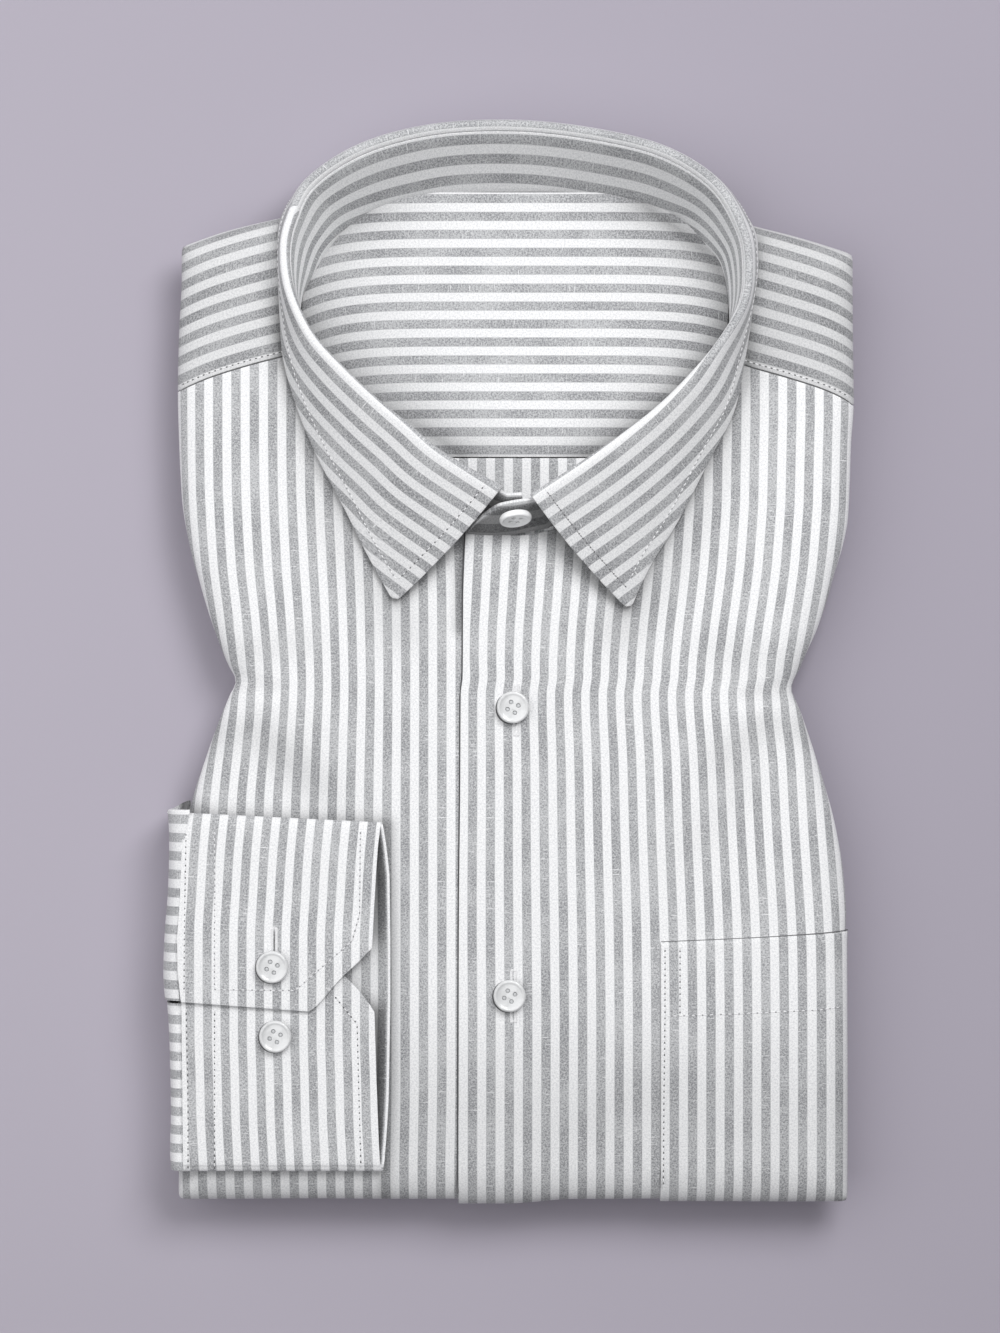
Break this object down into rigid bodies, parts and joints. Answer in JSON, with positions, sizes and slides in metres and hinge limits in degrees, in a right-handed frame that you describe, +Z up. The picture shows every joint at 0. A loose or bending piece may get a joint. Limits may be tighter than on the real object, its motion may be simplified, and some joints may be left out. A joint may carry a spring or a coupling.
{
  "type": "folded dress shirt",
  "caption": "Long-sleeved striped dress shirt folded flat for a shelf, collar buttoned and standing, one cuff brought round to the front, chest pocket on the wearer's left.",
  "frame": {"origin": "under the middle of the folded shirt, on the surface it lies on", "axes": "+X towards the wearer's left, +Y towards the collar, +Z up out of the shirt's front"},
  "size_m": [0.2496, 0.392, 0.0433],
  "materials": {
    "striped_cotton": "light plain-weave cotton, white and heathered grey stripes 3.3 mm wide",
    "folded_cotton": "folded edges of the same striped cotton",
    "pearl_button": "pearly off-white, polished"
  },
  "bodies": {
    "root": {"hidden_folds": "folded_cotton", "yoke_inner": "striped_cotton", "back_panel": "striped_cotton", "front_under": "striped_cotton", "front_over": "striped_cotton", "yoke_left": "striped_cotton", "yoke_right": "striped_cotton", "pocket": "striped_cotton", "collar_leaf": "striped_cotton", "collar_stand": "striped_cotton", "sleeve": "striped_cotton", "cuff": "striped_cotton", "button_collar": "pearl_button", "button_front_1": "pearl_button", "button_front_2": "pearl_button", "button_cuff_1": "pearl_button", "button_cuff_2": "pearl_button"}
  },
  "joints": []
}
